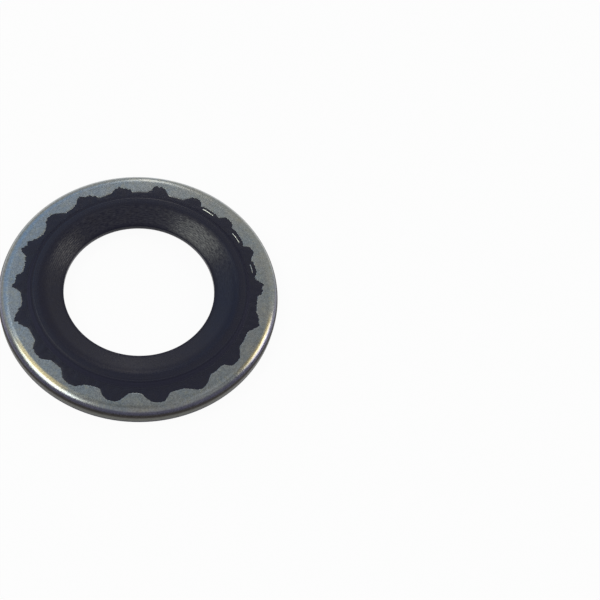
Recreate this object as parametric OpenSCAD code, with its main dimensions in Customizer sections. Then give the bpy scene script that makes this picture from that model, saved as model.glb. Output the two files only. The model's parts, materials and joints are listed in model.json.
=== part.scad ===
// Bonded sealing washer: a stamped steel ring with a toothed inner edge, and a rubber seal moulded into it.
// The seal has a bead on each face and tapers to a thin lip at the bore.
// Origin: centre of the washer, in the plane that the lower bead rests on. Z runs along the bore.

/* [Steel ring] */
// Outside diameter of the washer
ring_od = 28.5; // [26:0.1:40]
// Thickness of the steel sheet
ring_thickness = 1.8; // [1:0.05:3]
// Width of the steel band outside the notches
rim_width = 1.4; // [1:0.05:2.2]
// Radial width of the rolled upper edge, left where the punch entered
edge_roll_width = 1.1; // [0.2:0.05:1.3]
// Height of the rolled upper edge
edge_roll_drop = 0.8; // [0.1:0.05:1]
// Radius of the lower outer edge
lower_edge_radius = 0.15; // [0.1:0.05:0.35]

/* [Teeth and notches] */
// Number of notches in the inner edge, each filled by a lobe of rubber
notch_count = 18; // [10:1:20]
// Radial depth of a notch, from the tooth tips to its root
notch_depth = 0.95; // [0.75:0.05:1.2]
// Width of a notch at half its depth
notch_width = 2.15; // [1.8:0.05:2.4]
// Lean of a notch's flanks from the radial direction, in degrees
flank_angle = 35; // [15:1:38]
// Radius of the two corners at a notch's root
root_radius = 0.45; // [0.15:0.05:0.5]
// Radius of the two corners of a tooth's tip
tip_radius = 0.45; // [0.15:0.05:0.5]

/* [Rubber seal] */
// Diameter of the bore
bore_d = 15.4; // [10:0.1:17.5]
// Height of the lip's wall at the bore
lip_height = 0.6; // [0.2:0.05:0.8]
// Radial width of the cone between the lip and the bead's level top
cone_width = 2.25; // [1.6:0.05:2.5]
// Radius that rounds the cone over to the bead's level top
shoulder_radius = 1.5; // [0.5:0.1:3]
// Distance from the tooth tips in to the outer edge of the bead's level top
bead_inset = 1.05; // [0.9:0.05:1.5]
// Height of each bead above the steel's face
bead_height = 0.5; // [0.25:0.05:0.8]
// Radius of the outer edge of the bead's top
crest_radius = 0.15; // [0.05:0.05:0.25]
// Flat land between the foot of the bead and the tooth tips
foot_land = 0.55; // [0.1:0.05:0.6]
// Depth of the lobes' faces below the steel's faces
lobe_drop = 0.02; // [0.02:0.02:0.2]

/* [Hidden] */

$fn = 128;
// Straight steps in each drawn arc and in the rolled edge
arc_steps = 4;
roll_steps = 8;
// Least flat face and least wall beside a rounded edge
least_land = 0.1;

outer_r = ring_od / 2;
root_r = outer_r - rim_width;
tip_r = root_r - notch_depth;
mid_r = (root_r + tip_r) / 2;
bore_r = bore_d / 2;
bead_r = tip_r - bead_inset;
foot_r = tip_r - foot_land;
pitch = 360 / notch_count;

half_steel = ring_thickness / 2;
half_lobe = half_steel - lobe_drop;
half_lip = lip_height / 2;
half_bead = half_steel + bead_height;

// The rolled edge keeps to the band outside the notches and leaves a wall below it
roll_width = min(edge_roll_width, rim_width - least_land);
roll_drop = min(edge_roll_drop, ring_thickness - lower_edge_radius - least_land);

// Points along an arc, from one angle to another
function arc(centre, radius, from, to) =
    [for (i = [0:arc_steps])
        let (a = from + (to - from) * i / arc_steps)
        [centre.x + radius * cos(a), centre.y + radius * sin(a)]];

// A point turned about the origin
function turned(p, a) = [p.x * cos(a) - p.y * sin(a), p.x * sin(a) + p.y * cos(a)];

// The points of a list mirrored in its first axis, in reverse order
function mirrored(points) = [for (i = [len(points) - 1:-1:0]) [points[i].x, -points[i].y]];

// Distance of a notch's flank from the washer's centre, measured square to the flank
flank_offset = mid_r * sin(flank_angle) + notch_width / 2 * cos(flank_angle);

// Centre of the corner at a notch's root: inside the flank and inside the root
root_x = root_r - root_radius;
root_corner = [root_x, (flank_offset - root_radius - root_x * sin(flank_angle)) / cos(flank_angle)];

// Centre of a tooth tip's corner: outside the flank, and outside the circle of the tooth tips
tip_offset = flank_offset + tip_radius;
tip_along = sqrt(pow(tip_r + tip_radius, 2) - pow(tip_offset, 2));
tip_corner = turned([tip_along, tip_offset], -flank_angle);

// One side of a notch, from its root out to the tooth tip beside it
notch_side = concat(
    arc(root_corner, root_radius, 0, 90 - flank_angle),
    arc(tip_corner, tip_radius, 270 - flank_angle, 180 + atan2(tip_corner.y, tip_corner.x))
);

// Both sides of a notch, in the order in which the outline passes them
notch = concat(mirrored(notch_side), notch_side);

// Outline that the steel's inner edge and the rubber's outer edge share
bond_outline = [for (k = [0:notch_count - 1]) for (p = notch) turned(p, k * pitch)];

// Section of the steel sheet, from inside the bond out to the two outer edges
lower_edge = arc([outer_r - lower_edge_radius, lower_edge_radius - half_steel], lower_edge_radius, -90, 0);
upper_edge = [for (i = [0:roll_steps])
    let (a = 90 * i / roll_steps)
    [outer_r - roll_width * (1 - cos(a)), half_steel - roll_drop * (1 - sin(a))]];
steel_section = concat([[bead_r, -half_steel]], lower_edge, upper_edge, [[bead_r, half_steel]]);

// Upper half of the seal's section: up the cone from the lip, over the bead and down to its foot
lip_corner = [bore_r, half_lip];
foot = [foot_r, half_lobe];

// The cone runs straight up from the lip and leaves room for the bead's level top
seal_width = bead_r - bore_r;
cone_run = min(cone_width, 0.8 * seal_width);
cone_slope = atan2(half_bead - half_lip, cone_run);

// The shoulder touches the cone and the level top, as far each way from the corner that they would make
shoulder_reach = min(shoulder_radius * tan(cone_slope / 2), seal_width - cone_run - least_land);
shoulder_bend = shoulder_reach / tan(cone_slope / 2);
shoulder = arc([bore_r + cone_run + shoulder_reach, half_bead - shoulder_bend], shoulder_bend, 90 + cone_slope, 90);

// Outer edge of the bead's top, down to where a straight line to the foot touches it
crest_centre = [bead_r, half_bead - crest_radius];
to_foot = foot - crest_centre;
crest_end = atan2(to_foot.y, to_foot.x) + acos(crest_radius / norm(to_foot));
crest = arc(crest_centre, crest_radius, 90, crest_end);
seal_half = concat([lip_corner], shoulder, crest, [foot]);

// Height of the washer's middle plane above the surface that it rests on
module at_middle() {
    translate([0, 0, half_bead]) children();
}

module steel_ring() {
    color([0.56, 0.59, 0.59])
    at_middle()
    difference() {
        rotate_extrude() polygon(steel_section);
        linear_extrude(2 * ring_thickness, center = true) polygon(bond_outline);
    }
}

// Slab of rubber that fills the notches
module lobes() {
    linear_extrude(2 * half_lobe, center = true)
    difference() {
        polygon(bond_outline);
        circle(bead_r);
    }
}

module rubber_seal() {
    color([0.15, 0.155, 0.185])
    at_middle()
    union() {
        rotate_extrude() polygon(concat(seal_half, mirrored(seal_half)));
        lobes();
    }
}

steel_ring();
rubber_seal();
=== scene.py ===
"""Looks of a bonded sealing washer: a stamped steel ring with rubber moulded into its toothed inner edge.

Sizes in the classes are in millimetres and angles in degrees. Meshes are in metres, in the frame of the CAD.
"""

from __future__ import annotations

import json
import logging
import math
from dataclasses import dataclass
from enum import Enum

import bpy
import numpy as np
from mathutils import Matrix, Vector, noise


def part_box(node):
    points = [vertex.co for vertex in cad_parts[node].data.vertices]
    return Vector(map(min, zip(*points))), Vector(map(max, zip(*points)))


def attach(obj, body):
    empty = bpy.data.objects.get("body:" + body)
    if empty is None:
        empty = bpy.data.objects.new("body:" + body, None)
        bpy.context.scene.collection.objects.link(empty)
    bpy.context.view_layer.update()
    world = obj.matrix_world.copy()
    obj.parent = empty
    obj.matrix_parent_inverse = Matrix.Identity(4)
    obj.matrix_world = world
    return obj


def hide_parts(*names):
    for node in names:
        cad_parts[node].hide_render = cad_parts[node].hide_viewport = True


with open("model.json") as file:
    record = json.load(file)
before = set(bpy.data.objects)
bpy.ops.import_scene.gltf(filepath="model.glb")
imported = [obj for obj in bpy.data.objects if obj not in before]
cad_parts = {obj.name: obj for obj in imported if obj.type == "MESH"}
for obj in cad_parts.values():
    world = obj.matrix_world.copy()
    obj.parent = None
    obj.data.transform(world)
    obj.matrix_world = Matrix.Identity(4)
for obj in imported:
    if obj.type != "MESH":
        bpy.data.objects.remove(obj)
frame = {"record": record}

LOG = logging.getLogger("sealing_washer")
MM = 0.001
IMAGE_PX = 600
# Straight steps in a full turn of a ring
TURN_STEPS = 1440
# What the points of a section carry through the turning
WEIGHTS = ("upper", "lower", "roll")
# Depth of the notches between the teeth, and of the lobes' faces below the steel's
NOTCH_DEPTH = 0.95
LOBE_DROP = 0.02

Point = tuple[float, float]


class Face(Enum):
    """The two faces of the washer, with the sign of their outward direction."""

    UPPER = 1
    LOWER = -1


# Small helpers


def linear(code: str) -> tuple[float, float, float, float]:
    """Turns a colour code into Blender's linear colour.

    Args:
        code: six hex digits, sRGB.

    Returns:
        Linear red, green, blue and an alpha of one.
    """
    parts = [int(code[i : i + 2], 16) / 255 for i in (0, 2, 4)]
    lin = [c / 12.92 if c <= 0.04045 else ((c + 0.055) / 1.055) ** 2.4 for c in parts]
    return (lin[0], lin[1], lin[2], 1.0)


def per_mm(size: float) -> float:
    """Gives the noise scale whose grains are about this many millimetres across."""
    return 1.0 / (size * MM)


def node(
    tree: bpy.types.NodeTree, kind: str, inputs: dict | None = None, **settings: object
) -> bpy.types.Node:
    """Adds a node with its settings, and its inputs set or linked.

    Args:
        tree: node tree that gets the node.
        kind: Blender's name for the node type.
        inputs: socket name or number to a value, or to an output socket that is linked there.
        settings: the node's own properties.

    Returns:
        The new node.
    """
    made = tree.nodes.new(kind)
    for name, value in settings.items():
        setattr(made, name, value)
    for key, value in (inputs or {}).items():
        if isinstance(value, bpy.types.NodeSocket):
            tree.links.new(value, made.inputs[key])
        else:
            made.inputs[key].default_value = value
    return made


def smoothstep(t: np.ndarray) -> np.ndarray:
    """Gives the smooth ramp from 0 to 1 of each value, held flat outside that range."""
    t = np.clip(t, 0.0, 1.0)
    return t * t * (3.0 - 2.0 * t)


def direction(azimuth: float, elevation: float) -> Vector:
    """Gives the unit vector towards a place in the studio.

    Args:
        azimuth: degrees from +X towards +Y.
        elevation: degrees above the floor.

    Returns:
        The vector.
    """
    turn, rise = math.radians(azimuth), math.radians(elevation)
    return Vector((math.cos(rise) * math.cos(turn), math.cos(rise) * math.sin(turn), math.sin(rise)))


def new_material(name: str) -> tuple[bpy.types.Material, bpy.types.NodeTree]:
    """Makes a material with an empty node tree.

    Args:
        name: name of the material.

    Returns:
        The material and its node tree.
    """
    made = bpy.data.materials.new(name)
    made.use_nodes = True
    made.node_tree.nodes.clear()
    return made, made.node_tree


# Sizes that the CAD gives


@dataclass(frozen=True)
class WasherSizes:
    """Main sizes of the washer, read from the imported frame."""

    outer_r: float
    root_r: float
    bore_r: float
    lip_height: float
    steel_low: float
    steel_top: float
    bead_top: float

    @classmethod
    def from_frame(cls) -> WasherSizes:
        """Reads the sizes from the CAD boxes and the bore's record.

        Returns:
            The washer's sizes in millimetres.
        """
        steel_low, steel_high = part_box("steel_ring")
        seal_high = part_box("rubber_seal")[1]
        bore = next(m for m in frame["record"]["mounts"] if m["name"] == "bore")
        return cls(
            outer_r=steel_high.x / MM,
            root_r=seal_high.x / MM,
            bore_r=bore["dims"]["r_mm"],
            lip_height=bore["dims"]["length_mm"],
            steel_low=steel_low.z / MM,
            steel_top=steel_high.z / MM,
            bead_top=seal_high.z / MM,
        )

    @property
    def middle(self) -> float:
        """Height of the washer's middle plane."""
        return self.bead_top / 2


# Line along which rubber and steel meet


@dataclass(frozen=True)
class Lobe:
    """One rubber lobe and the steel tooth after it, as the line between them runs on a face.

    Trace holds pairs of angle and radius. Ragged says how uneven the edge is, from 0 to 1.
    """

    trace: tuple[Point, ...]
    ragged: float


# The upper face's lobes, as they show in the photograph: no two are alike
UPPER_LOBES = (
    Lobe(
        ragged=0.5,
        trace=(
            (-4, 12.05), (-2.5, 12.45), (-0.5, 12.6), (1.5, 12.62), (2.8, 12.8), (4.0, 12.52),
            (5.5, 12.2), (7, 12.0), (8.2, 12.05), (9.4, 12.22), (13, 12.26), (16, 12.24),
        ),
    ),
    Lobe(
        ragged=0.45,
        trace=(
            (17.8, 12.08), (19, 12.3), (20, 12.5), (21.2, 12.63), (23, 12.7), (24.2, 12.6),
            (25.2, 12.36), (26.4, 12.02), (28, 12.1), (30, 12.25), (34, 12.27), (37, 12.25),
        ),
    ),
    Lobe(
        ragged=0.45,
        trace=(
            (38.3, 12.2), (39.4, 12.48), (41, 12.61), (43.8, 12.66), (45.4, 12.52), (46.3, 12.3),
            (46.9, 12.1), (48.2, 12.07), (52, 12.14), (56, 12.13),
        ),
    ),
    Lobe(
        ragged=0.5,
        trace=(
            (58.2, 12.0), (59.3, 12.42), (60.5, 12.6), (62.8, 12.66), (64.8, 12.52), (66.4, 12.22),
            (67.4, 12.0), (68.6, 11.86), (71, 11.8), (74.5, 11.76),
        ),
    ),
    Lobe(
        ragged=0.7,
        trace=(
            (76.6, 11.84), (77.4, 12.1), (78.2, 12.38), (79, 12.62), (80.2, 12.66), (81.7, 12.6),
            (83.2, 12.7), (84.3, 12.6), (85, 12.36), (85.6, 12.14), (86.6, 12.0), (87.4, 11.84),
            (91, 11.8), (94, 11.8),
        ),
    ),
    Lobe(
        ragged=0.7,
        trace=(
            (95.4, 11.84), (96.2, 12.16), (98, 12.26), (99.6, 12.34), (100.4, 12.48), (101.4, 12.6),
            (102.4, 12.44), (103.9, 12.34), (105.2, 12.08), (106.6, 11.97), (108.4, 11.87), (110, 11.82),
            (112, 11.78),
        ),
    ),
    Lobe(
        ragged=0.8,
        trace=(
            (113.4, 11.9), (114.2, 12.12), (115.8, 12.26), (117, 12.6), (118.4, 12.46), (119.8, 12.54),
            (121, 12.7), (122.3, 12.6), (123.6, 12.34), (125.2, 12.1), (126.8, 11.95), (129, 11.86),
            (131.5, 11.86),
        ),
    ),
    Lobe(
        ragged=0.6,
        trace=(
            (133.2, 11.98), (134.8, 12.28), (136.2, 12.52), (138, 12.7), (140.2, 12.76), (142.2, 12.6),
            (143.6, 12.3), (145.4, 12.08), (147.4, 11.88), (149.4, 11.8),
        ),
    ),
    Lobe(
        ragged=0.9,
        trace=(
            (151.6, 11.95), (153.4, 12.12), (154.8, 12.42), (156.8, 12.65), (158.4, 12.56),
            (159.6, 12.7), (161, 12.9), (162.4, 12.7), (163.5, 12.4), (164.5, 12.12), (166.5, 12.04),
            (169, 12.0), (171.3, 11.94),
        ),
    ),
    Lobe(
        ragged=0.8,
        trace=(
            (173, 12.02), (174.4, 12.3), (176, 12.5), (178.4, 12.6), (180, 12.74), (181.2, 12.83),
            (182.2, 12.5), (183.2, 12.18), (184.4, 11.94), (187, 11.85), (190, 11.87),
        ),
    ),
    Lobe(
        ragged=0.8,
        trace=(
            (192.2, 12.02), (193.5, 12.3), (194.8, 12.5), (196.3, 12.7), (197.7, 12.8), (198.8, 13.04),
            (199.9, 12.8), (201.4, 12.62), (202.8, 12.4), (204.2, 12.06), (206, 11.9), (209.5, 11.87),
        ),
    ),
    Lobe(
        ragged=0.4,
        trace=(
            (212.2, 12.0), (213.5, 12.3), (215, 12.5), (216.6, 12.63), (219, 12.66), (221, 12.63),
            (222.2, 12.48), (223.4, 12.28), (225, 12.02), (227, 11.94), (230, 11.95),
        ),
    ),
    Lobe(
        ragged=0.35,
        trace=(
            (232, 12.04), (233.3, 12.32), (234.6, 12.6), (236.2, 12.78), (238.6, 12.84), (240.6, 12.82),
            (242.1, 12.7), (243.4, 12.5), (244.8, 12.26), (246.4, 12.12), (249, 12.02),
        ),
    ),
    Lobe(
        ragged=0.25,
        trace=(
            (252.2, 12.06), (253.2, 12.32), (254.4, 12.62), (255.8, 12.82), (257.4, 12.96),
            (259.8, 13.0), (262, 12.86), (263.2, 12.6), (264.5, 12.3), (266, 11.98), (267.5, 11.87),
            (270, 11.86),
        ),
    ),
    Lobe(
        ragged=0.25,
        trace=(
            (272, 12.02), (273.4, 12.38), (274.8, 12.66), (276.2, 12.88), (278, 13.0), (280, 13.04),
            (281.4, 12.98), (282.6, 12.78), (283.8, 12.48), (284.9, 12.2), (286.5, 12.13), (289, 12.18),
        ),
    ),
    Lobe(
        ragged=0.25,
        trace=(
            (291.3, 12.18), (293.3, 12.4), (295, 12.6), (296.6, 12.8), (299, 12.95), (301.4, 12.8),
            (303, 12.6), (304.5, 12.3), (306, 12.13), (309, 12.1), (312, 12.04),
        ),
    ),
    Lobe(
        ragged=0.3,
        trace=(
            (314, 12.12), (315.3, 12.5), (316.6, 12.75), (318.4, 12.85), (320.4, 12.85), (322.2, 12.7),
            (323.7, 12.5), (325, 12.28), (326.3, 12.09), (330, 12.06), (334, 12.02),
        ),
    ),
    Lobe(
        ragged=0.35,
        trace=(
            (336, 12.06), (337.2, 12.3), (338.5, 12.5), (340, 12.7), (341.1, 12.82), (342.4, 12.7),
            (344.4, 12.55), (346, 12.35), (347.6, 12.18), (350, 12.1), (354, 12.08),
        ),
    ),
)


def eased(angles: np.ndarray, knots: np.ndarray, values: np.ndarray) -> np.ndarray:
    """Draws a smooth closed curve through knots without overshooting them.

    Args:
        angles: places round the washer.
        knots: angles of the knots, rising within one turn.
        values: the curve's value at each knot.

    Returns:
        The curve's value at each place.
    """
    angles = (angles - knots[0]) % 360.0 + knots[0]
    x = np.concatenate((knots[-2:] - 360.0, knots, knots[:3] + 360.0))
    y = np.concatenate((values[-2:], values, values[:3]))
    width, rise = np.diff(x), np.diff(y) / np.diff(x)
    before, after = rise[:-1], rise[1:]
    same = before * after > 0.0
    slope = np.zeros_like(y)
    slope[1:-1][same] = 2.0 * before[same] * after[same] / (before[same] + after[same])
    i = np.clip(np.searchsorted(x, angles, side="right") - 1, 0, len(width) - 1)
    t = (angles - x[i]) / width[i]
    start, end = (1.0 + 2.0 * t) * (1.0 - t) ** 2, t * t * (3.0 - 2.0 * t)
    leave, arrive = t * (1.0 - t) ** 2 * width[i], t * t * (t - 1.0) * width[i]
    return start * y[i] + end * y[i + 1] + leave * slope[i] + arrive * slope[i + 1]


@dataclass(frozen=True)
class BondLine:
    """The line between rubber and steel on each face.

    The upper face follows the washer's own ragged lobes, the lower face has even lobes with slight flash.
    """

    tip_r: float
    root_r: float
    lobe_count: int = 18
    lower_ragged: float = 0.4
    # Angle from the middle of a lower lobe, and the share of the notch that the rubber fills there
    lower_half: tuple[Point, ...] = ((2.4, 1.0), (3.7, 0.85), (5.2, 0.3), (6.6, 0.0))
    ragged_depth: float = 0.28
    # Size of the coarse and of the fine waver, and the share of each
    wavers: tuple[Point, ...] = ((0.55, 0.35), (0.2, 0.9))
    # Height at which the waver is read from the noise, above and below, so that the two faces differ
    noise_height: float = 7.3
    # A place that lies less than this beyond the tooth tips counts as bare
    bare_reach: float = 0.16
    smooth_tips: float = 0.6

    def lobes(self, face: Face) -> tuple[Lobe, ...]:
        """Gives the lobes of a face.

        Args:
            face: which face.

        Returns:
            The lobes in order of angle.
        """
        if face is Face.UPPER:
            return UPPER_LOBES
        depth = self.root_r - self.tip_r
        shape = tuple((-a, share) for a, share in self.lower_half[::-1]) + self.lower_half
        pitch = 360.0 / self.lobe_count
        return tuple(
            Lobe(tuple((k * pitch + a, self.tip_r + depth * share) for a, share in shape), self.lower_ragged)
            for k in range(self.lobe_count)
        )

    def roughness(self, angles: np.ndarray, face: Face) -> np.ndarray:
        """Gives the line's fine waver, from -1 to 1.

        Args:
            angles: places round the washer.
            face: which face, so that the two differ.

        Returns:
            The waver at each place.
        """
        made = np.zeros_like(angles)
        layer = self.noise_height * face.value
        for size, share in self.wavers:
            reach = self.root_r / size
            for i, angle in enumerate(np.radians(angles)):
                place = Vector((reach * math.cos(angle), reach * math.sin(angle), layer))
                made[i] += share * noise.noise(place)
        return made

    def trace(self, angles: np.ndarray, face: Face) -> tuple[np.ndarray, np.ndarray]:
        """Works out the line on one face.

        Args:
            angles: places round the washer.
            face: which face.

        Returns:
            The line's radius at each place, and how far the place belongs to a bare tooth tip, from 0 to 1.
        """
        lobes = self.lobes(face)
        pairs = np.array([pair for lobe in lobes for pair in lobe.trace])
        line = eased(angles, pairs[:, 0], pairs[:, 1])
        middles = [np.mean([angle for angle, _ in lobe.trace]) for lobe in lobes]
        ragged = np.interp(angles, middles, [lobe.ragged for lobe in lobes], period=360.0)
        bare = 1.0 - smoothstep((line - self.tip_r) / self.bare_reach)
        depth = self.ragged_depth * ragged * (1.0 - self.smooth_tips * bare)
        return line + depth * self.roughness(angles, face), bare


# Turned rings


@dataclass(frozen=True)
class SectionPoint:
    """One point of a ring's section.

    Upper and lower say how far the point follows the bond line of that face, from 0 to 1. Roll is the angle
    of a point on the tooth tips' rounded edge, and below zero elsewhere.
    """

    r: float
    z: float
    upper: float = 0.0
    lower: float = 0.0
    roll: float = -1.0


def deselect_all() -> None:
    """Leaves nothing selected, so that an operator acts on the new piece only."""
    if bpy.context.object and bpy.context.object.mode != "OBJECT":
        bpy.ops.object.mode_set(mode="OBJECT")
    bpy.ops.object.select_all(action="DESELECT")


def turn_ring(
    name: str, section: list[SectionPoint], angle: float = 360.0, steps: int = TURN_STEPS
) -> bpy.types.Object:
    """Turns a closed section about the washer's axis.

    Args:
        name: name of the piece.
        section: points of the section, in order.
        angle: how far it is turned.
        steps: number of straight steps.

    Returns:
        The new object, with the section's weights as point attributes.
    """
    deselect_all()
    bpy.ops.mesh.primitive_circle_add(vertices=len(section), radius=MM, fill_type="NOTHING")
    ring = bpy.context.object
    ring.name = name
    ring.data.name = name
    places = np.array([(p.r * MM, 0.0, p.z * MM) for p in section])
    ring.data.vertices.foreach_set("co", places.ravel())
    for weight in WEIGHTS:
        attribute = ring.data.attributes.new(weight, "FLOAT", "POINT")
        attribute.data.foreach_set("value", [getattr(p, weight) for p in section])
    turning = ring.modifiers.new("Turn", "SCREW")
    turning.axis = "Z"
    turning.angle = math.radians(angle)
    turning.steps = steps
    turning.render_steps = steps
    turning.use_merge_vertices = angle >= 360.0
    turning.merge_threshold = 1e-7
    bpy.ops.object.modifier_apply(modifier=turning.name)
    return ring


def close_mesh(ring: bpy.types.Object, merge: float = 1e-7, smooth_angle: float = 40.0) -> None:
    """Merges doubles, turns the faces outwards and shades the mesh.

    Args:
        ring: the piece.
        merge: distance within which points are merged, in metres.
        smooth_angle: edges sharper than this stay sharp.
    """
    deselect_all()
    bpy.context.view_layer.objects.active = ring
    ring.select_set(True)
    bpy.ops.object.mode_set(mode="EDIT")
    bpy.ops.mesh.select_all(action="SELECT")
    bpy.ops.mesh.remove_doubles(threshold=merge)
    bpy.ops.mesh.normals_make_consistent(inside=False)
    bpy.ops.object.mode_set(mode="OBJECT")
    bpy.ops.object.shade_smooth_by_angle(angle=math.radians(smooth_angle))


def read_points(ring: bpy.types.Object) -> tuple[np.ndarray, dict[str, np.ndarray]]:
    """Reads a turned ring's points and weights.

    Args:
        ring: the piece.

    Returns:
        The points in millimetres, and each weight by name.
    """
    count = len(ring.data.vertices)
    flat = np.empty(count * 3)
    ring.data.vertices.foreach_get("co", flat)
    weights = {}
    for name in WEIGHTS:
        values = np.empty(count)
        ring.data.attributes[name].data.foreach_get("value", values)
        weights[name] = values
    return flat.reshape(-1, 3) / MM, weights


def write_points(ring: bpy.types.Object, places: np.ndarray) -> None:
    """Writes moved points back, in millimetres, and drops the weights that moved them."""
    ring.data.vertices.foreach_set("co", (places * MM).ravel())
    for name in WEIGHTS:
        ring.data.attributes.remove(ring.data.attributes[name])
    ring.data.update()


def step_places(places: np.ndarray) -> tuple[np.ndarray, np.ndarray, np.ndarray]:
    """Finds where the points of a turned ring lie.

    Args:
        places: the points in millimetres.

    Returns:
        Each point's step round the ring, each point's radius, and the angle of every step.
    """
    angles = np.degrees(np.arctan2(places[:, 1], places[:, 0])) % 360.0
    step = np.round(angles / 360.0 * TURN_STEPS).astype(int) % TURN_STEPS
    return step, np.hypot(places[:, 0], places[:, 1]), np.arange(TURN_STEPS) * 360.0 / TURN_STEPS


def blend_points(first: Point, last: Point, shares: list[float]) -> list[Point]:
    """Gives points on a straight line.

    Args:
        first: start of the line.
        last: end of the line.
        shares: places along it, from 0 to 1.

    Returns:
        The points.
    """
    return [(first[0] + (last[0] - first[0]) * s, first[1] + (last[1] - first[1]) * s) for s in shares]


# Finishes


@dataclass(frozen=True)
class ZincPlatedSteel:
    """Stamped mild steel, barrel zinc plated and passivated.

    The eye sees a satin grey with fine cloudy grain and a rolled edge that tumbling has burnished bright.
    Straw and violet tints are painted on the rolled edge as the colour fringes of the lamp highlights, the
    violet on the front only. The wall is darker, partly as dull sheared steel and partly as painted shade,
    with a painted dark line below the roll and a dark band at its foot that is partly the fracture zone and
    partly painted contact shade.
    """

    outer_r: float
    steel_low: float
    steel_top: float
    roll_width: float
    face: str = "A7A9A8"
    cool: str = "9CA4A9"
    warm: str = "ABA897"
    # Painted highlight: straw is the inner colour fringe of the two lamp highlights on the rolled edge
    straw: str = "CDBB86"
    straw_share: float = 0.62
    # Angle of each painted straw fringe at a lamp highlight, and where it begins and ends outwards from the
    # flat face
    straw_places: tuple[tuple[float, float, float], ...] = ((223.0, 0.1, 0.4), (332.0, 0.38, 0.62))
    # Cosine of the angle from a fringe's middle to its end, and to where it is full
    straw_ends: Point = (0.945, 0.99)
    # Painted reflection: violet on the outer part of the rolled edge, on the front side only, as the
    # highlights' outer fringe
    violet: str = "938FB4"
    violet_share: float = 0.75
    # Painted shade: a dark line where the rolled edge turns down into the wall
    line: str = "3C3937"
    # Darker wall: partly the duller sheared steel, partly painted shade
    wall: str = "50504A"
    # Dark band at the wall's foot: partly the rough fracture zone of the shear, partly painted contact shade
    # under the rim
    fracture: str = "2C2C34"
    roughness: float = 0.28
    roll_roughness: float = 0.22
    wall_roughness: float = 0.45
    roughness_spread: float = 0.05
    cloud: float = 1.6
    fleck: float = 0.4
    # Plating crystals are far finer than this: drawn coarse enough to show
    grain: float = 0.16
    grain_depth: float = 0.02

    def make(self, name: str = "zinc_plated_steel_stamped") -> bpy.types.Material:
        """Builds the material.

        Args:
            name: name of the material.

        Returns:
            The material.
        """
        made, tree = new_material(name)
        coords = node(tree, "ShaderNodeTexCoord").outputs["Object"]
        flat = node(tree, "ShaderNodeVectorMath", {0: coords, 1: (1.0, 1.0, 0.0)}, operation="MULTIPLY")
        radius = node(tree, "ShaderNodeVectorMath", {0: flat.outputs[0]}, operation="LENGTH").outputs["Value"]
        axes = node(tree, "ShaderNodeSeparateXYZ", {0: coords}).outputs
        edge = self.outer_r - self.roll_width
        ramps = {}
        for zone, source, low, high in (
            ("roll", radius, edge - 0.1, edge + 0.35),
            ("violet_in", radius, edge + 0.62, edge + 0.85),
            ("violet_side", axes["Y"], 3.0, -5.0),
            ("rim", radius, self.outer_r - 0.35, self.outer_r - 0.15),
            ("low", axes["Z"], self.steel_top - 0.3, self.steel_top - 0.5),
            ("line_out", axes["Z"], self.steel_top - 0.86, self.steel_top - 0.72),
            ("foot", axes["Z"], self.steel_low + 0.5, self.steel_low + 0.36),
        ):
            ramps[zone] = node(
                tree, "ShaderNodeMapRange", {"Value": source, "From Min": low * MM, "From Max": high * MM}
            ).outputs[0]
        spoke = node(tree, "ShaderNodeVectorMath", {0: flat.outputs[0]}, operation="NORMALIZE").outputs[0]
        # Painted highlight fringe: straw only where the two lamp highlights lie on the rolled edge
        highlight_fringe = 0.0
        for place, begin, end in self.straw_places:
            across = node(
                tree, "ShaderNodeVectorMath", {0: spoke, 1: direction(place, 0.0)}, operation="DOT_PRODUCT"
            ).outputs["Value"]
            here = node(
                tree,
                "ShaderNodeMapRange",
                {"Value": across, "From Min": self.straw_ends[0], "From Max": self.straw_ends[1]},
                interpolation_type="SMOOTHSTEP",
            ).outputs[0]
            for low, high in ((begin - 0.1, begin + 0.06), (end + 0.16, end - 0.04)):
                band = node(
                    tree,
                    "ShaderNodeMapRange",
                    {"Value": radius, "From Min": (edge + low) * MM, "From Max": (edge + high) * MM},
                ).outputs[0]
                here = node(tree, "ShaderNodeMath", {0: here, 1: band}, operation="MULTIPLY").outputs[0]
            highlight_fringe = node(tree, "ShaderNodeMath", {0: highlight_fringe, 1: here}, operation="MAXIMUM").outputs[0]
        shares = {"roll": ramps["roll"]}
        for zone, first, second in (
            # Painted reflection: violet on the rim's front side
            ("violet", "violet_in", "violet_side"),
            # Wall: partly duller sheared steel, partly painted shade
            ("wall", "low", "rim"),
            # Painted shade: the dark line below the roll
            ("line", "low", "line_out"),
            # Foot band: partly fracture zone, partly painted contact shade
            ("fracture", "foot", "rim"),
        ):
            shares[zone] = node(
                tree, "ShaderNodeMath", {0: ramps[first], 1: ramps[second]}, operation="MULTIPLY"
            ).outputs[0]
        for zone, source, most in (
            ("straw", highlight_fringe, self.straw_share),
            ("violet", shares["violet"], self.violet_share),
        ):
            shares[zone] = node(tree, "ShaderNodeMath", {0: source, 1: most}, operation="MULTIPLY").outputs[0]

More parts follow.
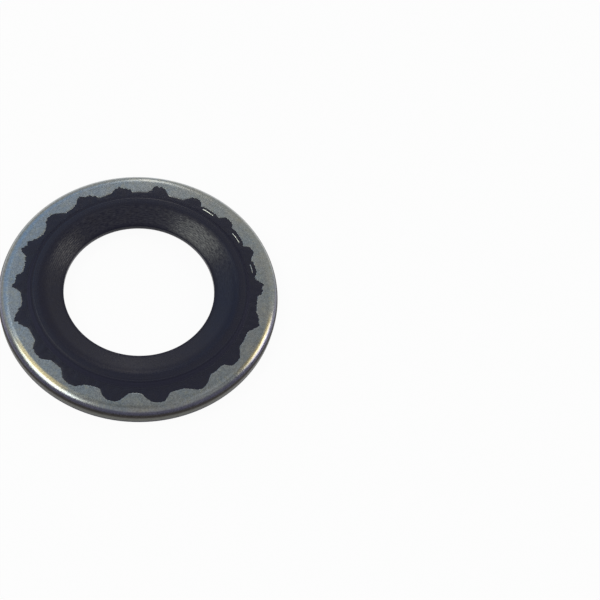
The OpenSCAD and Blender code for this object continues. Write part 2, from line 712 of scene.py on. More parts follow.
        noises = {}
        for pattern, size, detail, harshness in (
            ("clouds", self.cloud, 4.0, 0.6),
            ("flecks", self.fleck, 3.0, 0.7),
            ("grain", self.grain, 2.0, 0.5),
        ):
            noises[pattern] = node(
                tree,
                "ShaderNodeTexNoise",
                {"Vector": coords, "Scale": per_mm(size), "Detail": detail, "Roughness": harshness},
            ).outputs["Fac"]
        for zone, pattern, low, high, most in (
            ("cool", "clouds", 0.4, 0.65, 1.0),
            ("warm", "flecks", 0.5, 0.75, 0.8),
        ):
            shares[zone] = node(
                tree,
                "ShaderNodeMapRange",
                {"Value": noises[pattern], "From Min": low, "From Max": high, "To Max": most},
            ).outputs[0]
        tinted = linear(self.face)
        for share, tint in (
            (shares["cool"], self.cool),
            (shares["warm"], self.warm),
            (shares["straw"], self.straw),
            (shares["violet"], self.violet),
            (shares["wall"], self.wall),
            (shares["line"], self.line),
            (shares["fracture"], self.fracture),
        ):
            tinted = node(
                tree, "ShaderNodeMix", {"Factor": share, "A": tinted, "B": linear(tint)}, data_type="RGBA"
            ).outputs["Result"]

        shade = node(
            tree,
            "ShaderNodeMapRange",
            {"Value": noises["grain"], "From Min": 0.3, "From Max": 0.7, "To Min": 0.8, "To Max": 1.2},
        ).outputs[0]
        tinted = node(
            tree,
            "ShaderNodeMix",
            {"Factor": 1.0, "A": tinted, "B": shade},
            data_type="RGBA",
            blend_type="MULTIPLY",
        ).outputs["Result"]
        rough = node(
            tree,
            "ShaderNodeMapRange",
            {"Value": shares["roll"], "To Min": self.roughness, "To Max": self.roll_roughness},
        ).outputs[0]
        rough = node(
            tree,
            "ShaderNodeMix",
            {"Factor": shares["wall"], "A": rough, "B": self.wall_roughness},
            data_type="FLOAT",
        ).outputs["Result"]
        spread = node(
            tree,
            "ShaderNodeMapRange",
            {
                "Value": noises["flecks"],
                "From Min": 0.3,
                "From Max": 0.7,
                "To Min": -self.roughness_spread,
                "To Max": self.roughness_spread,
            },
        ).outputs[0]
        rough = node(tree, "ShaderNodeMath", {0: rough, 1: spread}, operation="ADD").outputs[0]
        bump = node(
            tree,
            "ShaderNodeBump",
            {"Height": noises["grain"], "Strength": 0.15, "Distance": self.grain_depth * MM},
        ).outputs["Normal"]
        shader = node(
            tree,
            "ShaderNodeBsdfPrincipled",
            {"Base Color": tinted, "Metallic": 1.0, "Roughness": rough, "Normal": bump},
        )
        node(tree, "ShaderNodeOutputMaterial", {"Surface": shader.outputs[0]})
        return made


@dataclass(frozen=True)
class BurnishedSteelEdge:
    """Sheared steel edge rubbed bright: narrow, smooth and mirror-like beside the matt rubber."""

    colour: str = "D9DAD2"
    dull: str = "B5B8B4"
    roughness: float = 0.22
    roughness_spread: float = 0.06
    grain: float = 0.2

    def make(self, name: str = "steel_edge_burnished") -> bpy.types.Material:
        """Builds the material.

        Args:
            name: name of the material.

        Returns:
            The material.
        """
        made, tree = new_material(name)
        coords = node(tree, "ShaderNodeTexCoord").outputs["Object"]
        grain = node(
            tree, "ShaderNodeTexNoise", {"Vector": coords, "Scale": per_mm(self.grain), "Detail": 2.0}
        ).outputs["Fac"]
        colour = node(
            tree,
            "ShaderNodeMix",
            {"Factor": grain, "A": linear(self.colour), "B": linear(self.dull)},
            data_type="RGBA",
        ).outputs["Result"]
        rough = node(
            tree,
            "ShaderNodeMapRange",
            {
                "Value": grain,
                "To Min": self.roughness - self.roughness_spread,
                "To Max": self.roughness + self.roughness_spread,
            },
        ).outputs[0]
        shader = node(
            tree, "ShaderNodeBsdfPrincipled", {"Base Color": colour, "Metallic": 1.0, "Roughness": rough}
        )
        node(tree, "ShaderNodeOutputMaterial", {"Surface": shader.outputs[0]})
        return made


@dataclass(frozen=True)
class MouldedRubber:
    """Nitrile rubber, compression moulded and tumbled to take the flash off.

    The eye sees a blue-black matt skin with faint patches of bloom and a soft sheen on the cone that is
    broken by the fine rings of the turned mould. On the front side a lighter colour is painted on the bead's
    flank where it falls into shade, and the sheen is lowered there as painted shade.
    """

    bead_r: float
    foot_r: float
    cone_r: float
    middle: float
    lip_half: float
    skin: str = "232334"
    bloom: str = "242331"
    # Painted light: a lighter colour on the bead's flank at the front side, where the flank would fall into
    # shade
    dust: str = "39394B"
    ior: float = 1.52
    roughness: float = 0.27
    roughness_spread: float = 0.025
    flank_roughness: float = 0.6
    specular: float = 0.34
    cone_specular: float = 0.42
    flank_specular: float = 0.09
    lip_specular: float = 0.12
    # Places along Y where the front side starts and where it is full: there the flank gets painted light and
    # the shine painted shade
    front_side_span: Point = (10.0, -4.0)
    # Share of the shine that is left on the front side, on the cone and on the shoulder above it: painted
    # shade on the sheen
    front_cone_shine: float = 0.74
    shoulder_share: float = 0.62
    # Turning marks of the mould are about 0.05 mm apart: drawn wider, so that they show
    ring_spacing: float = 0.17
    streak_width: float = 0.09
    streak_length: float = 0.55
    # Share of the streaks that fade on the front side, and how far into the front side they start to
    hidden_streaks: float = 0.85
    hiding_start: float = 0.25
    ring_depth: float = 0.02
    grain: float = 0.2
    grain_depth: float = 0.03
    patch: float = 1.1

    def make(self, name: str = "nitrile_rubber_moulded") -> bpy.types.Material:
        """Builds the material.

        Args:
            name: name of the material.

        Returns:
            The material.
        """
        made, tree = new_material(name)
        coords = node(tree, "ShaderNodeTexCoord").outputs["Object"]
        flat = node(tree, "ShaderNodeVectorMath", {0: coords, 1: (1.0, 1.0, 0.0)}, operation="MULTIPLY")
        radius = node(tree, "ShaderNodeVectorMath", {0: flat.outputs[0]}, operation="LENGTH").outputs["Value"]
        ramps = {}
        for zone, low, high in (
            ("cone", self.cone_r + 0.3, self.cone_r - 0.3),
            ("shoulder_in", self.cone_r - 0.75, self.cone_r - 0.3),
            ("shoulder_out", self.cone_r + 0.5, self.cone_r + 0.1),
            ("flank_in", self.bead_r - 0.04, self.bead_r + 0.1),
            ("flank_out", self.foot_r + 0.05, self.foot_r - 0.15),
            ("dust_in", self.bead_r + 0.06, self.bead_r + 0.2),
            ("dust_out", self.foot_r + 0.08, self.foot_r - 0.06),
        ):
            ramps[zone] = node(
                tree, "ShaderNodeMapRange", {"Value": radius, "From Min": low * MM, "From Max": high * MM}
            ).outputs[0]
        shares = {}
        for zone in ("shoulder", "flank", "dust"):
            ends = {0: ramps[zone + "_in"], 1: ramps[zone + "_out"]}
            shares[zone] = node(tree, "ShaderNodeMath", ends, operation="MULTIPLY").outputs[0]
        # The front side of the washer: the bead's flank is painted lighter there, and the shine is lowered as
        # painted shade
        axes = node(tree, "ShaderNodeSeparateXYZ", {0: coords}).outputs
        front_side = node(
            tree,
            "ShaderNodeMapRange",
            {"Value": axes["Y"], "From Min": self.front_side_span[0] * MM, "From Max": self.front_side_span[1] * MM},
            interpolation_type="SMOOTHSTEP",
        ).outputs[0]
        level = node(tree, "ShaderNodeMath", {0: axes["Z"], 1: self.middle * MM}, operation="SUBTRACT")
        level = node(tree, "ShaderNodeMath", {0: level.outputs[0]}, operation="ABSOLUTE").outputs[0]
        lip = node(
            tree,
            "ShaderNodeMapRange",
            {"Value": level, "From Min": (self.lip_half + 0.2) * MM, "From Max": (self.lip_half - 0.02) * MM},
        ).outputs[0]
        # Streaks run round the washer: thin across, long along
        turn = node(tree, "ShaderNodeMath", {0: axes["Y"], 1: axes["X"]}, operation="ARCTAN2").outputs[0]
        along = node(
            tree, "ShaderNodeMath", {0: turn, 1: self.cone_r / self.streak_length}, operation="MULTIPLY"
        ).outputs[0]
        across = node(
            tree, "ShaderNodeMath", {0: radius, 1: per_mm(self.streak_width)}, operation="MULTIPLY"
        ).outputs[0]
        place = node(tree, "ShaderNodeCombineXYZ", {"X": across, "Y": along}).outputs[0]
        noises = {}
        for pattern, source, scale, detail, harshness in (
            ("streaks", place, 1.0, 1.0, 0.5),
            ("patches", coords, per_mm(self.patch), 5.0, 0.65),
            ("grain", coords, per_mm(self.grain), 2.0, 0.5),
        ):
            noises[pattern] = node(
                tree,
                "ShaderNodeTexNoise",
                {"Vector": source, "Scale": scale, "Detail": detail, "Roughness": harshness},
            ).outputs["Fac"]
        # One ring of Blender's wave texture is a twentieth of a full turn wide at a scale of one
        rings = node(
            tree,
            "ShaderNodeTexWave",
            {
                "Vector": coords,
                "Scale": 2 * math.pi / 20 * per_mm(self.ring_spacing),
                "Distortion": 1.5,
                "Detail": 2.0,
                "Detail Scale": 0.4,
            },
            wave_type="RINGS",
            rings_direction="Z",
        ).outputs["Fac"]
        bloom = node(
            tree, "ShaderNodeMapRange", {"Value": noises["patches"], "From Min": 0.42, "From Max": 0.68}
        ).outputs[0]
        colour = node(
            tree,
            "ShaderNodeMix",
            {"Factor": bloom, "A": linear(self.skin), "B": linear(self.bloom)},
            data_type="RGBA",
        ).outputs["Result"]
        # Painted light: the flank is lighter on the front side
        dust = node(tree, "ShaderNodeMath", {0: shares["dust"], 1: front_side}, operation="MULTIPLY").outputs[0]
        colour = node(
            tree, "ShaderNodeMix", {"Factor": dust, "A": colour, "B": linear(self.dust)}, data_type="RGBA"
        ).outputs["Result"]
        streaks = self.cone_specular
        for source, low, high, least, most in (
            (noises["grain"], 0.32, 0.68, 0.84, 1.16),
            (noises["streaks"], 0.3, 0.7, 0.38, 1.62),
        ):
            speckle = node(
                tree,
                "ShaderNodeMapRange",
                {"Value": source, "From Min": low, "From Max": high, "To Min": least, "To Max": most},
            ).outputs[0]
            streaks = node(tree, "ShaderNodeMath", {0: streaks, 1: speckle}, operation="MULTIPLY").outputs[0]
        hidden = node(
            tree,
            "ShaderNodeMapRange",
            {"Value": front_side, "From Min": self.hiding_start, "To Max": self.hidden_streaks},
        ).outputs[0]
        streaks = node(
            tree,
            "ShaderNodeMix",
            {"Factor": hidden, "A": streaks, "B": self.cone_specular},
            data_type="FLOAT",
        ).outputs["Result"]
        shine = node(
            tree,
            "ShaderNodeMapRange",
            {"Value": shares["flank"], "To Min": self.specular, "To Max": self.flank_specular},
        ).outputs[0]
        shine = node(
            tree, "ShaderNodeMix", {"Factor": ramps["cone"], "A": shine, "B": streaks}, data_type="FLOAT"
        ).outputs["Result"]
        # Painted shade: less shine on the front side, on the cone and on its shoulder
        for zone, least in ((ramps["cone"], self.front_cone_shine), (shares["shoulder"], self.shoulder_share)):
            dull = node(tree, "ShaderNodeMath", {0: zone, 1: front_side}, operation="MULTIPLY").outputs[0]
            kept = node(
                tree, "ShaderNodeMapRange", {"Value": dull, "To Min": 1.0, "To Max": least}
            ).outputs[0]
            shine = node(tree, "ShaderNodeMath", {0: shine, 1: kept}, operation="MULTIPLY").outputs[0]
        shine = node(
            tree, "ShaderNodeMix", {"Factor": lip, "A": shine, "B": self.lip_specular}, data_type="FLOAT"
        ).outputs["Result"]
        rough = node(
            tree,
            "ShaderNodeMapRange",
            {
                "Value": noises["patches"],
                "From Min": 0.3,
                "From Max": 0.7,
                "To Min": self.roughness - self.roughness_spread,
                "To Max": self.roughness + self.roughness_spread,
            },
        ).outputs[0]
        rough = node(
            tree,
            "ShaderNodeMix",
            {"Factor": shares["flank"], "A": rough, "B": self.flank_roughness},
            data_type="FLOAT",
        ).outputs["Result"]
        marks = node(
            tree, "ShaderNodeBump", {"Height": rings, "Strength": 0.15, "Distance": self.ring_depth * MM}
        ).outputs["Normal"]
        bump = node(
            tree,
            "ShaderNodeBump",
            {"Height": noises["grain"], "Strength": 0.12, "Distance": self.grain_depth * MM, "Normal": marks},
        ).outputs["Normal"]
        shader = node(
            tree,
            "ShaderNodeBsdfPrincipled",
            {
                "Base Color": colour,
                "Roughness": rough,
                "IOR": self.ior,
                "Specular IOR Level": shine,
                "Normal": bump,
            },
        )
        node(tree, "ShaderNodeOutputMaterial", {"Surface": shader.outputs[0]})
        return made


@dataclass(frozen=True)
class StudioPaper:
    """Matt white background paper: an even white with the object's soft shadow on it."""

    colour: str = "F7F7F7"
    white_share: float = 0.95

    def make(self, name: str = "background_paper_matt") -> bpy.types.Material:
        """Builds the material: what the eye sees, also in the metal, is part paper and part even white.

        Args:
            name: name of the material.

        Returns:
            The material.
        """
        made, tree = new_material(name)
        paper = node(
            tree,
            "ShaderNodeBsdfPrincipled",
            {"Base Color": linear(self.colour), "Roughness": 0.9, "Specular IOR Level": 0.0},
        )
        white = node(tree, "ShaderNodeEmission", {"Color": (1.0, 1.0, 1.0, 1.0), "Strength": 1.0})
        rays = node(tree, "ShaderNodeLightPath").outputs
        seen = rays["Is Camera Ray"]
        for other in ("Is Glossy Ray", "Is Transmission Ray"):
            seen = node(tree, "ShaderNodeMath", {0: seen, 1: rays[other]}, operation="MAXIMUM").outputs[0]
        share = node(tree, "ShaderNodeMath", {0: seen, 1: self.white_share}, operation="MULTIPLY").outputs[0]
        mixed = node(tree, "ShaderNodeMixShader", {0: share, 1: paper.outputs[0], 2: white.outputs[0]})
        node(tree, "ShaderNodeOutputMaterial", {"Surface": mixed.outputs[0]})
        return made


# Pieces


@dataclass
class SteelRing:
    """The stamped ring: flat faces, rolled upper rim, sheared wall and the teeth of the inner edge."""

    sizes: WasherSizes
    bond: BondLine
    roll_width: float = 1.1
    roll_drop: float = 0.8
    lower_radius: float = 0.15
    tip_roll_width: float = 0.12
    tip_roll_drop: float = 0.05
    notch_roll_width: float = 0.03
    notch_roll_drop: float = 0.02
    # Most of the flat face beside a tooth's rounded edge that the edge may take
    tip_roll_share: float = 0.15
    lower_tip_edge: float = 0.05
    # How far down the wall the punch's clean shear ends, and the step there
    fracture_share: float = 0.62
    fracture_step: float = 0.015
    # The blanking punch isn't quite in the middle of the teeth
    rim_shift: tuple[float, float] = (0.03, -0.02)

    def section(self) -> list[SectionPoint]:
        """Draws the ring's section, from the tooth tips over the upper face and round.

        Returns:
            The points of the closed section.
        """
        s, tip = self.sizes, self.bond.tip_r
        points = [SectionPoint(tip, s.steel_top, upper=1.0, roll=float(a)) for a in (90, 70, 50, 32, 16, 0)]
        roll_r = s.outer_r - self.roll_width
        for share in (0.2, 0.45, 0.7, 0.88):
            points.append(SectionPoint(tip + (roll_r - tip) * share, s.steel_top, upper=1.0 - share))
        for angle in np.radians(np.linspace(90.0, 0.0, 25)):
            r = s.outer_r - self.roll_width * (1.0 - math.cos(angle))
            points.append(SectionPoint(r, s.steel_top - self.roll_drop * (1.0 - math.sin(angle))))
        wall_top = s.steel_top - self.roll_drop
        wall_low = s.steel_low + self.lower_radius
        for r, z in blend_points((s.outer_r, wall_top), (s.outer_r, wall_low), [0.3, 0.5]):
            points.append(SectionPoint(r, z))
        inner = s.outer_r - self.fracture_step
        points.append(SectionPoint(inner, wall_top + (wall_low - wall_top) * self.fracture_share))
        for angle in np.radians(np.linspace(0.0, -90.0, 7)):
            r = inner - self.lower_radius * (1.0 - math.cos(angle))
            points.append(SectionPoint(r, wall_low + self.lower_radius * math.sin(angle)))
        flat_r = inner - self.lower_radius
        for share in (0.85, 0.6, 0.3):
            points.append(SectionPoint(tip + (flat_r - tip) * share, s.steel_low, lower=1.0 - share))
        points.append(SectionPoint(tip + self.lower_tip_edge, s.steel_low, lower=1.0))
        points.append(SectionPoint(tip, s.steel_low + self.lower_tip_edge, lower=1.0))
        for share in (0.35, 0.7):
            z = s.steel_low + (s.steel_top - s.steel_low) * share
            points.append(SectionPoint(tip, z, upper=share, lower=1.0 - share))
        return points

    def build(self) -> bpy.types.Object:
        """Turns the ring and cuts its teeth along the bond line.

        Returns:
            The ring.
        """
        ring = turn_ring("steel_ring_stamped", self.section())
        places, weights = read_points(ring)
        step, r, grid = step_places(places)
        upper, bare = self.bond.trace(grid, Face.UPPER)
        lower, _ = self.bond.trace(grid, Face.LOWER)
        moved = r + weights["upper"] * (upper[step] - self.bond.tip_r)
        moved += weights["lower"] * (lower[step] - self.bond.tip_r)
        on_roll = weights["roll"] >= 0.0
        turn = np.radians(np.clip(weights["roll"], 0.0, 90.0))
        width = self.notch_roll_width + (self.tip_roll_width - self.notch_roll_width) * bare[step]
        room = self.sizes.outer_r - self.roll_width - upper[step]
        width = np.minimum(width, self.tip_roll_share * room)
        drop = self.notch_roll_drop + (self.tip_roll_drop - self.notch_roll_drop) * bare[step]
        moved += np.where(on_roll, width * (1.0 - np.sin(turn)), 0.0)
        places[:, 2] -= np.where(on_roll, drop * (1.0 - np.cos(turn)), 0.0)
        places[:, :2] *= (moved / r)[:, None]
        outwards = smoothstep((r - self.bond.root_r) / (self.sizes.outer_r - self.bond.root_r))
        places[:, :2] += outwards[:, None] * np.array(self.rim_shift)
        write_points(ring, places)
        close_mesh(ring)
        return ring

    def dress(self, ring: bpy.types.Object) -> None:
        """Gives the ring its plating and ties it to the frame."""
        s = self.sizes
        plating = ZincPlatedSteel(s.outer_r, s.steel_low, s.steel_top, self.roll_width)
        ring.data.materials.append(plating.make())
        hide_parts("steel_ring")
        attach(ring, "root")


@dataclass
class RubberSeal:
    """The moulded seal: lip at the bore, cone, bead with a fine groove, and the lobes between the teeth."""

    sizes: WasherSizes
    bond: BondLine
    cone_width: float = 2.25
    shoulder_radius: float = 1.5
    bead_inset: float = 1.05
    crest_radius: float = 0.2
    foot_land: float = 0.55
    # The lobes' faces sink from here on, as a share of the way to their edge, to this depth below the steel's
    edge_start: float = 0.7
    edge_drop: float = 0.035
    overlap: float = 0.02
    # Radius of the lip's edges, and the share of it by which their centres are sunk below the lip's corner
    lip_round: float = 0.12
    lip_sink: float = 0.75
    groove_inset: float = 0.07
    groove_depth: float = 0.02
    groove_half: float = 0.055
    # Height and size of the lumps in the lobes' faces
    unevenness: float = 0.02
    lump: float = 0.6
    # The thin lip isn't quite in the middle of the ring
    lip_shift: tuple[float, float] = (-0.07, 0.17)

    @property
    def bead_r(self) -> float:
        """Radius of the outer edge of the bead's level top."""
        return self.bond.tip_r - self.bead_inset

    @property
    def foot(self) -> Point:
        """Radius of the bead's foot, and its height above the middle plane."""
        return (self.bond.tip_r - self.foot_land, self.sizes.steel_top - self.sizes.middle - LOBE_DROP)

    def outline(self, face: Face) -> list[Point]:
        """Draws the skin from the lip over the bead to its foot, as heights above the middle plane.

        Args:
            face: which face: the lower one takes fewer points.

        Returns:
            The points, from the bore outwards.
        """
        s, fine = self.sizes, face is Face.UPPER
        half_bead = s.bead_top - s.middle
        lip = (s.bore_r, s.lip_height / 2)
        slope = math.atan2(half_bead - lip[1], self.cone_width)
        reach = self.shoulder_radius * math.tan(slope / 2)
        turn = math.pi / 2 + slope
        points = []
        for angle in np.linspace(math.pi, turn, 5 if fine else 3):
            x, z = self.lip_round * math.cos(angle), self.lip_round * math.sin(angle)
            points.append((lip[0] + self.lip_round + x, lip[1] - self.lip_sink * self.lip_round + z))
        centre = (lip[0] + self.cone_width + reach, half_bead - self.shoulder_radius)
        bend = [
            (centre[0] + self.shoulder_radius * math.cos(a), centre[1] + self.shoulder_radius * math.sin(a))
            for a in np.linspace(turn, math.pi / 2, 7 if fine else 4)
        ]
        points += blend_points(points[-1], bend[0], [0.2, 0.4, 0.6, 0.8] if fine else [0.5]) + bend
        level = list(np.linspace(0.3, 0.92, 9)) if fine else [0.5, 0.9]
        points += blend_points(bend[-1], (self.bead_r, half_bead), level)
        centre = (self.bead_r, half_bead - self.crest_radius)
        away = (self.foot[0] - centre[0], self.foot[1] - centre[1])
        end = math.atan2(away[1], away[0]) + math.acos(self.crest_radius / math.hypot(*away))
        for angle in np.linspace(math.pi / 2, end, 7 if fine else 4):
            x, z = self.crest_radius * math.cos(angle), self.crest_radius * math.sin(angle)
            points.append((centre[0] + x, centre[1] + z))
        return points + blend_points(points[-1], self.foot, [0.4, 0.8] if fine else [0.6])

    def groove(self, r: float) -> float:
        """Gives the depth at a radius of the fine groove that the mould left near the bead's edge."""
        from_middle = r - self.bead_r + self.groove_inset
        return self.groove_depth * math.exp(-((from_middle / self.groove_half) ** 2))

    def half_section(self, face: Face) -> list[SectionPoint]:
        """Draws half of the section, from the lip out to the lobes' edge.

        Args:
            face: which half.

        Returns:
            The half's points, from the bore outwards.
        """
        fine = face is Face.UPPER
        points = [(r, z - self.groove(r), 0.0) for r, z in self.outline(face)]
        foot_r, foot_z = self.foot
        width = self.bond.tip_r + self.overlap - foot_r
        for share in (0.0, 0.12, 0.3, 0.5, 0.7, 0.86, 0.95, 1.0) if fine else (0.0, 0.3, 0.7, 0.9, 1.0):
            near_edge = max(0.0, (share - self.edge_start) / (1.0 - self.edge_start))
            sunk = (self.edge_drop - LOBE_DROP) * near_edge**2
            points.append((foot_r + width * share, foot_z - sunk, share))
        return [
            SectionPoint(
                r,
                self.sizes.middle + face.value * z,
                upper=share if fine else 0.0,
                lower=0.0 if fine else share,
            )
            for r, z, share in points
        ]

    def build(self) -> bpy.types.Object:
        """Turns the seal and lets its lobes follow the bond line.

        Returns:
            The seal.
        """
        upper_half = self.half_section(Face.UPPER)
        lower_half = self.half_section(Face.LOWER)
        wall = SectionPoint(self.bond.tip_r + self.overlap, self.sizes.middle, upper=0.5, lower=0.5)
        seal = turn_ring("rubber_seal_moulded", upper_half + [wall] + lower_half[::-1])
        places, weights = read_points(seal)
        step, r, grid = step_places(places)
        moved = r.copy()
        for face, weight in ((Face.UPPER, weights["upper"]), (Face.LOWER, weights["lower"])):
            line, _ = self.bond.trace(grid, face)
            moved += weight * (line[step] - self.bond.tip_r)
        places[:, :2] *= (moved / r)[:, None]
        thin = smoothstep((self.sizes.bore_r + self.cone_width - r) / self.cone_width)
        places[:, :2] += thin[:, None] * np.array(self.lip_shift)
        side = np.sign(weights["upper"]) - np.sign(weights["lower"])
        for i in np.flatnonzero(side):
            places[i, 2] += side[i] * self.unevenness * noise.noise(Vector(places[i]) / self.lump)
        write_points(seal, places)
        close_mesh(seal)
        return seal

    def dress(self, seal: bpy.types.Object) -> None:
        """Gives the seal its rubber and ties it to the frame."""
        rubber = MouldedRubber(
            bead_r=self.bead_r,
            foot_r=self.foot[0],
            cone_r=self.sizes.bore_r + self.cone_width,
            middle=self.sizes.middle,
            lip_half=self.sizes.lip_height / 2,
        )
        seal.data.materials.append(rubber.make())
        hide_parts("rubber_seal")
        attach(seal, "root")


@dataclass(frozen=True)
class EdgeRun:
    """One length of tooth edge that the rubber leaves bare."""

    first: float
    last: float
    radius: float


@dataclass
class BareToothEdges:
    """Slim bright edges of three teeth, which show through the film of rubber beside them."""

    sizes: WasherSizes
    width: float = 0.09
    rise: float = 0.055
    # Depth of a sliver's back in the rubber
    sink: float = 0.03
    # Sideways waver of a sliver, and how fast it runs for each degree
    waver: float = 0.03
    waver_rate: float = 0.7
    steps: int = 48
    runs: tuple[EdgeRun, ...] = (
        EdgeRun(9.8, 15.4, 11.80),
        EdgeRun(28.8, 36.2, 11.82),
        EdgeRun(49.8, 57.2, 11.82),
    )

    def section(self, radius: float) -> list[SectionPoint]:
        """Draws a sliver's section: a slope that faces inwards and up, with its back in the rubber.

        Args:
            radius: middle of the sliver.

        Returns:
            The points of the closed section.
        """
        low = self.sizes.steel_top - LOBE_DROP
        half = self.width / 2
        outline = (
            (-half, -self.sink),
            (-half, 0.0),
            (-0.8 * half, 0.3 * self.rise),
            (0.0, 0.72 * self.rise),
            (0.6 * half, self.rise),
            (half, 0.9 * self.rise),
            (half, -self.sink),
        )
        return [SectionPoint(radius + r, low + z) for r, z in outline]

    def build(self) -> bpy.types.Object:
        """Turns the three slivers, tapers their ends and joins them.

        Returns:
            The piece.
        """
        slivers = []
        for run in self.runs:
            sliver = turn_ring("bare_tooth_edges", self.section(run.radius), run.last - run.first, self.steps)
            places, _ = read_points(sliver)
            angles = np.degrees(np.arctan2(places[:, 1], places[:, 0]))
            along = np.abs(2.0 * angles / (run.last - run.first) - 1.0)
            slim = np.sqrt(np.clip(1.0 - along**3, 0.0, 1.0))
            aside = [noise.noise(Vector((a * self.waver_rate + run.first, 0.0, 0.0))) for a in angles]
            low = self.sizes.steel_top - LOBE_DROP - self.sink
            r = np.hypot(places[:, 0], places[:, 1])
            moved = run.radius + self.waver * np.array(aside) + (r - run.radius) * slim
            places[:, 2] = low + (places[:, 2] - low) * slim
            turn = np.radians(angles + run.first)
            places[:, 0] = moved * np.cos(turn)
            places[:, 1] = moved * np.sin(turn)
            write_points(sliver, places)
            slivers.append(sliver)
        deselect_all()
        for sliver in slivers:
            sliver.select_set(True)
        bpy.context.view_layer.objects.active = slivers[0]
        bpy.ops.object.join()
        close_mesh(slivers[0], merge=1e-6, smooth_angle=60.0)
        return slivers[0]

    def dress(self, slivers: bpy.types.Object) -> None:
        """Gives the edges their bare steel and ties them to the frame."""
        slivers.data.materials.append(BurnishedSteelEdge().make())
        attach(slivers, "root")


# Studio


@dataclass(frozen=True)
class SoftLamp:
    """An oval soft lamp that points at the washer."""

    name: str
    azimuth: float
    elevation: float
    width: float
    height: float
    radiance: float
    colour: str
    distance: float = 400.0

    def hang(self) -> None:
        """Adds the lamp."""
        towards = direction(self.azimuth, self.elevation)
        deselect_all()
        bpy.ops.object.light_add(
            type="AREA",
            location=towards * self.distance * MM,
            rotation=towards.to_track_quat("Z", "Y").to_euler(),
        )
        lamp = bpy.context.object
        lamp.name = self.name
        lamp.data.shape = "ELLIPSE"
        lamp.data.size = self.width * MM
        lamp.data.size_y = self.height * MM
        area = math.pi * self.width * self.height * MM**2 / 4
        lamp.data.energy = self.radiance * math.pi * area
        lamp.data.color = linear(self.colour)[:3]


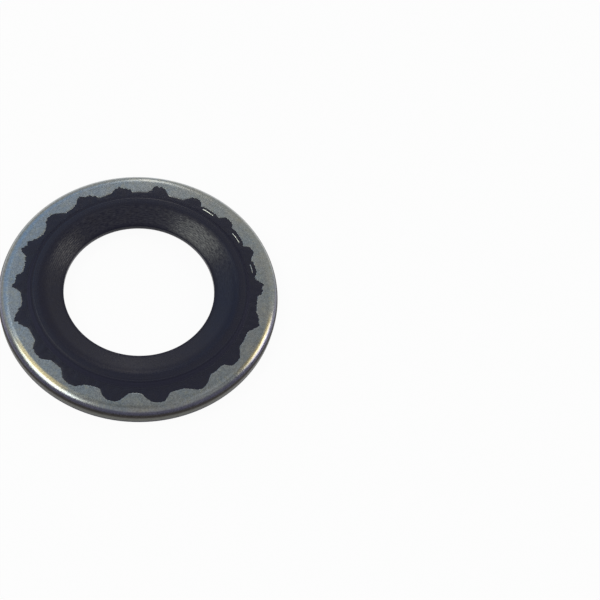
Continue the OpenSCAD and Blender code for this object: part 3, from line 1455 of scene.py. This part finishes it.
@dataclass
class Studio:
    """White paper, soft lamps, pale surroundings and the camera."""

    steel_top: float
    # The camera aims this far below the steel's face
    aim_depth: float = 1.5
    floor_size: float = 6000.0
    distance: float = 114.0
    elevation: float = 60.465
    roll: float = 1.371
    pan: float = -8.3732
    tilt: float = 0.1029
    focal_px: float = 1086.1
    sensor: float = 36.0
    horizon: str = "AEB0B2"
    ceiling: str = "7C7D7D"
    back_wall: str = "C0C0BC"
    front_light: str = "ACACAE"
    sky: str = "A9C3E4"
    sky_azimuth: float = 124.0
    sky_elevation: float = 44.0
    lamps: tuple[SoftLamp, ...] = (
        SoftLamp("left_lamp", 195.5, 53.0, 262.0, 162.0, 3.4, "FBFFF4"),
        SoftLamp("left_upper_lamp", 148.0, 66.0, 190.0, 110.0, 1.1, "FFFBEA"),
        SoftLamp("right_lamp", 5.0, 34.5, 175.0, 200.0, 2.6, "FFFBF0"),
        SoftLamp("right_upper_lamp", 30.0, 74.0, 170.0, 120.0, 0.35, "F4F8FF"),
        SoftLamp("back_lamp", 88.0, 33.0, 46.0, 205.0, 2.05, "FFFAF2"),
    )

    def lay_floor(self) -> bpy.types.Object:
        """Adds the paper that the washer lies on.

        Returns:
            The floor.
        """
        deselect_all()
        bpy.ops.mesh.primitive_plane_add(size=self.floor_size * MM, location=(0.0, 0.0, 0.0))
        floor = bpy.context.object
        floor.name = "background_paper"
        floor.data.materials.append(StudioPaper().make())
        return floor

    def light(self) -> None:
        """Hangs the lamps and sets the surroundings.

        They are grey overhead and paler in front, with a pale wall and a bluish window behind.
        """
        for lamp in self.lamps:
            lamp.hang()
        world = bpy.data.worlds.new("studio_surroundings")
        bpy.context.scene.world = world
        world.use_nodes = True
        tree = world.node_tree
        tree.nodes.clear()
        around = node(tree, "ShaderNodeTexCoord").outputs["Generated"]
        axes = node(tree, "ShaderNodeSeparateXYZ", {0: around}).outputs
        window = direction(self.sky_azimuth, self.sky_elevation)
        facing = node(tree, "ShaderNodeVectorMath", {0: around, 1: window}, operation="DOT_PRODUCT")
        shares = {}
        for zone, source, low, high in (
            ("below_ceiling", axes["Z"], 0.93, 0.8),
            ("behind", axes["Y"], -0.05, 0.3),
            ("overhead", axes["Z"], 0.7, 0.86),
            ("ahead", axes["Y"], 0.1, -0.2),
            ("sky", facing.outputs["Value"], 0.88, 0.985),
            ("horizon", axes["Z"], 0.14, 0.03),
        ):
            shares[zone] = node(
                tree,
                "ShaderNodeMapRange",
                {"Value": source, "From Min": low, "From Max": high},
                interpolation_type="SMOOTHSTEP",
            ).outputs[0]
        for zone, first, second in (
            ("back_wall", "below_ceiling", "behind"),
            ("front_light", "overhead", "ahead"),
        ):
            shares[zone] = node(
                tree, "ShaderNodeMath", {0: shares[first], 1: shares[second]}, operation="MULTIPLY"
            ).outputs[0]
        colour = linear(self.ceiling)
        for zone, other in (
            ("back_wall", self.back_wall),
            ("front_light", self.front_light),
            ("sky", self.sky),
            ("horizon", self.horizon),
        ):
            mix = {"Factor": shares[zone], "A": colour, "B": linear(other)}
            colour = node(tree, "ShaderNodeMix", mix, data_type="RGBA").outputs["Result"]
        background = node(tree, "ShaderNodeBackground", {"Color": colour, "Strength": 1.0})
        node(tree, "ShaderNodeOutputWorld", {"Surface": background.outputs[0]})

    def aim_camera(self) -> None:
        """Adds the camera at the photograph's angle, turned so that the washer sits left of the middle."""
        elevation = math.radians(self.elevation)
        pan, tilt, roll = (math.radians(a) for a in (self.pan, self.tilt, self.roll))
        forward = Vector((0.0, math.cos(elevation), -math.sin(elevation)))
        right = Vector((1.0, 0.0, 0.0))
        down = -right.cross(forward)
        aimed = Matrix((right, down, forward))
        swung = Matrix.Rotation(tilt, 3, "X") @ Matrix.Rotation(pan, 3, "Y") @ aimed
        turned = Matrix.Rotation(roll, 3, "Z") @ swung
        axes = Matrix((turned[0], -turned[1], -turned[2])).transposed()
        place = -forward * self.distance + Vector((0.0, 0.0, self.steel_top - self.aim_depth))
        deselect_all()
        bpy.ops.object.camera_add(location=place * MM, rotation=axes.to_euler())
        camera = bpy.context.object
        camera.data.sensor_fit = "HORIZONTAL"
        camera.data.sensor_width = self.sensor
        camera.data.lens = self.focal_px * self.sensor / IMAGE_PX
        camera.data.clip_start = MM
        bpy.context.scene.camera = camera
        bpy.context.scene.view_settings.view_transform = "Standard"


def main() -> None:
    """Builds the washer and its studio; the CAD parts stay in the scene, hidden."""
    logging.basicConfig(level=logging.INFO, format="%(message)s")
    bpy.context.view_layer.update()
    sizes = WasherSizes.from_frame()
    bond = BondLine(tip_r=sizes.root_r - NOTCH_DEPTH, root_r=sizes.root_r)
    studio = Studio(sizes.steel_top)
    studio.aim_camera()
    for assembly in (SteelRing(sizes, bond), RubberSeal(sizes, bond), BareToothEdges(sizes)):
        piece = assembly.build()
        assembly.dress(piece)
        LOG.info("%s: %d faces", piece.name, len(piece.data.polygons))
    floor = studio.lay_floor()
    studio.light()
    LOG.info("%s and %d lamps", floor.name, len(studio.lamps))


if __name__ == "__main__":
    main()
